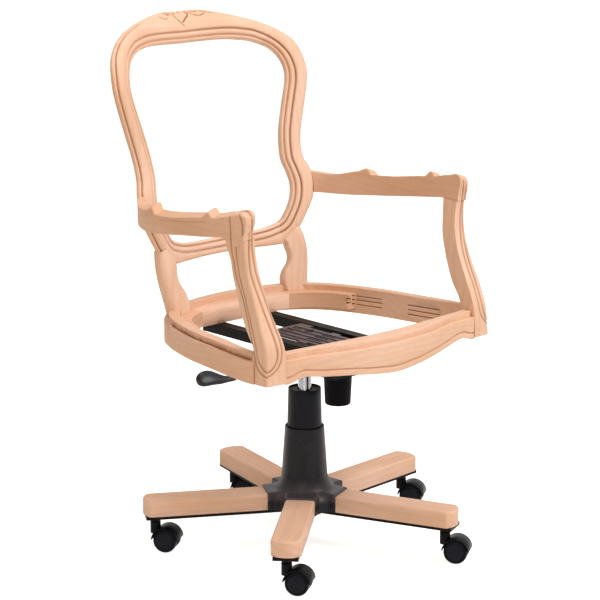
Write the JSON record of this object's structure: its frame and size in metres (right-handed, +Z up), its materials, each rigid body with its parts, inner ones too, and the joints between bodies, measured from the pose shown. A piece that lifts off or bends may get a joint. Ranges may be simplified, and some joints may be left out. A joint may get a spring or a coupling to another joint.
{
  "type": "swivel armchair frame",
  "caption": "Bare beech armchair frame with a balloon back and open arms, on a tilting, height-adjustable swivel base with wood-capped arms and twin-wheel casters",
  "frame": {"origin": "on the floor, on the axis of the column about which the seat swivels", "axes": "+Z up, -Y towards the front of the seat, +X towards the sitter's left"},
  "size_m": [0.6891, 0.7634, 1.0905],
  "materials": {
    "beech": "bare, planed and sanded",
    "black_steel": "satin black paint",
    "black_plastic": "fine grained",
    "lever_plastic": "polished",
    "wheel_plastic": "smooth",
    "chrome": "polished",
    "zinc_steel": "zinc plated",
    "pressed_steel": "dull grey"
  },
  "bodies": {
    "base": {"base_spider": "black_steel", "base_cover": "black_plastic", "upper_sleeve": "black_plastic", "gas_cylinder": "black_steel", "cap_screws": "zinc_steel", "arm_cap_a": "beech", "arm_cap_b": "beech", "arm_cap_c": "beech", "arm_cap_d": "beech", "arm_cap_e": "beech"},
    "caster_a": {"caster_hood_a": "black_plastic", "caster_axle_a": "zinc_steel"},
    "wheel_a1": {"caster_wheel_a1": "wheel_plastic"},
    "wheel_a2": {"caster_wheel_a2": "wheel_plastic"},
    "caster_b": {"caster_hood_b": "black_plastic", "caster_axle_b": "zinc_steel"},
    "wheel_b1": {"caster_wheel_b1": "wheel_plastic"},
    "wheel_b2": {"caster_wheel_b2": "wheel_plastic"},
    "caster_c": {"caster_hood_c": "black_plastic", "caster_axle_c": "zinc_steel"},
    "wheel_c1": {"caster_wheel_c1": "wheel_plastic"},
    "wheel_c2": {"caster_wheel_c2": "wheel_plastic"},
    "caster_d": {"caster_hood_d": "black_plastic", "caster_axle_d": "zinc_steel"},
    "wheel_d1": {"caster_wheel_d1": "wheel_plastic"},
    "wheel_d2": {"caster_wheel_d2": "wheel_plastic"},
    "caster_e": {"caster_hood_e": "black_plastic", "caster_axle_e": "zinc_steel"},
    "wheel_e1": {"caster_wheel_e1": "wheel_plastic"},
    "wheel_e2": {"caster_wheel_e2": "wheel_plastic"},
    "lift": {"lift_rod": "chrome"},
    "button": {"release_button": "zinc_steel"},
    "mechanism": {"tilt_housing": "black_steel", "tilt_pin": "zinc_steel", "tension_spring": "zinc_steel"},
    "knob": {"tension_knob": "black_plastic"},
    "lever": {"lift_lever_rod": "black_steel", "lift_lever_paddle": "lever_plastic"},
    "seat": {"seat_plate": "pressed_steel", "seat_bar_left": "black_steel", "seat_bar_right": "black_steel", "seat_bolts": "zinc_steel", "front_rail": "beech", "side_rail_left": "beech", "side_rail_right": "beech", "back_rail": "beech", "back_board": "beech", "front_board": "beech", "corner_block_left": "beech", "corner_block_right": "beech", "front_post_left": "beech", "front_post_right": "beech", "rear_post_left": "beech", "rear_post_right": "beech", "stile_left": "beech", "stile_right": "beech", "crest_rail": "beech", "lower_back_rail": "beech", "arm_left": "beech", "arm_right": "beech"}
  },
  "joints": [
    {"name": "caster_swivel_a", "type": "hinge", "parent": "base", "child": "caster_a", "pos_m": [0.31783, 0.02725, 0.07], "axis": [0, 0, 1], "continuous": true},
    {"name": "wheel_roll_a1", "type": "hinge", "parent": "caster_a", "child": "wheel_a1", "pos_m": [0.33145, 0.00628, 0.025], "axis": [0.8387, 0.5446, 0], "continuous": true},
    {"name": "wheel_roll_a2", "type": "hinge", "parent": "caster_a", "child": "wheel_a2", "pos_m": [0.33145, 0.00628, 0.025], "axis": [0.8387, 0.5446, 0], "continuous": true},
    {"name": "caster_swivel_b", "type": "hinge", "parent": "base", "child": "caster_b", "pos_m": [0.0723, 0.3107, 0.07], "axis": [0, 0, 1], "continuous": true},
    {"name": "wheel_roll_b1", "type": "hinge", "parent": "caster_b", "child": "wheel_b1", "pos_m": [0.08592, 0.28973, 0.025], "axis": [0.8387, 0.5446, 0], "continuous": true},
    {"name": "wheel_roll_b2", "type": "hinge", "parent": "caster_b", "child": "wheel_b2", "pos_m": [0.08592, 0.28973, 0.025], "axis": [0.8387, 0.5446, 0], "continuous": true},
    {"name": "caster_swivel_c", "type": "hinge", "parent": "base", "child": "caster_c", "pos_m": [-0.27315, 0.16477, 0.07], "axis": [0, 0, 1], "continuous": true},
    {"name": "wheel_roll_c1", "type": "hinge", "parent": "caster_c", "child": "wheel_c1", "pos_m": [-0.25953, 0.14381, 0.025], "axis": [0.8387, 0.5446, 0], "continuous": true},
    {"name": "wheel_roll_c2", "type": "hinge", "parent": "caster_c", "child": "wheel_c2", "pos_m": [-0.25953, 0.14381, 0.025], "axis": [0.8387, 0.5446, 0], "continuous": true},
    {"name": "caster_swivel_d", "type": "hinge", "parent": "base", "child": "caster_d", "pos_m": [-0.24112, -0.20886, 0.07], "axis": [0, 0, 1], "continuous": true},
    {"name": "wheel_roll_d1", "type": "hinge", "parent": "caster_d", "child": "wheel_d1", "pos_m": [-0.2275, -0.22983, 0.025], "axis": [0.8387, 0.5446, 0], "continuous": true},
    {"name": "wheel_roll_d2", "type": "hinge", "parent": "caster_d", "child": "wheel_d2", "pos_m": [-0.2275, -0.22983, 0.025], "axis": [0.8387, 0.5446, 0], "continuous": true},
    {"name": "caster_swivel_e", "type": "hinge", "parent": "base", "child": "caster_e", "pos_m": [0.12413, -0.29386, 0.07], "axis": [0, 0, 1], "continuous": true},
    {"name": "wheel_roll_e1", "type": "hinge", "parent": "caster_e", "child": "wheel_e1", "pos_m": [0.13775, -0.31483, 0.025], "axis": [0.8387, 0.5446, 0], "continuous": true},
    {"name": "wheel_roll_e2", "type": "hinge", "parent": "caster_e", "child": "wheel_e2", "pos_m": [0.13775, -0.31483, 0.025], "axis": [0.8387, 0.5446, 0], "continuous": true},
    {"name": "seat_lift", "type": "slide", "parent": "base", "child": "lift", "axis": [0, 0, 1], "range_m": [0, 0.1]},
    {"name": "button_press", "type": "slide", "parent": "lift", "child": "button", "axis": [0, 0, -1], "range_m": [0, 0.0035]},
    {"name": "seat_swivel", "type": "hinge", "parent": "lift", "child": "mechanism", "pos_m": [0, 0, 0.379], "axis": [0, 0, 1], "continuous": true},
    {"name": "knob_turn", "type": "hinge", "parent": "mechanism", "child": "knob", "pos_m": [0, -0.101, 0.35], "axis": [0, 0, 1], "continuous": true},
    {"name": "lever_lift", "type": "hinge", "parent": "mechanism", "child": "lever", "pos_m": [-0.0435, 0.00555, 0.39896], "axis": [0.1266, 0.992, 0], "range_deg": [0, 4], "stiffness_Nm_per_rad": 4, "springref_deg": -2.86},
    {"name": "seat_tilt", "type": "hinge", "parent": "mechanism", "child": "seat", "pos_m": [0, -0.045, 0.432], "axis": [-1, 0, 0], "range_deg": [0, 12], "stiffness_Nm_per_rad": 60, "springref_deg": -28.65}
  ],
  "couplings": [
    {"joint": "button_press", "follows": "lever_lift", "m_per_rad": 0.0439}
  ]
}
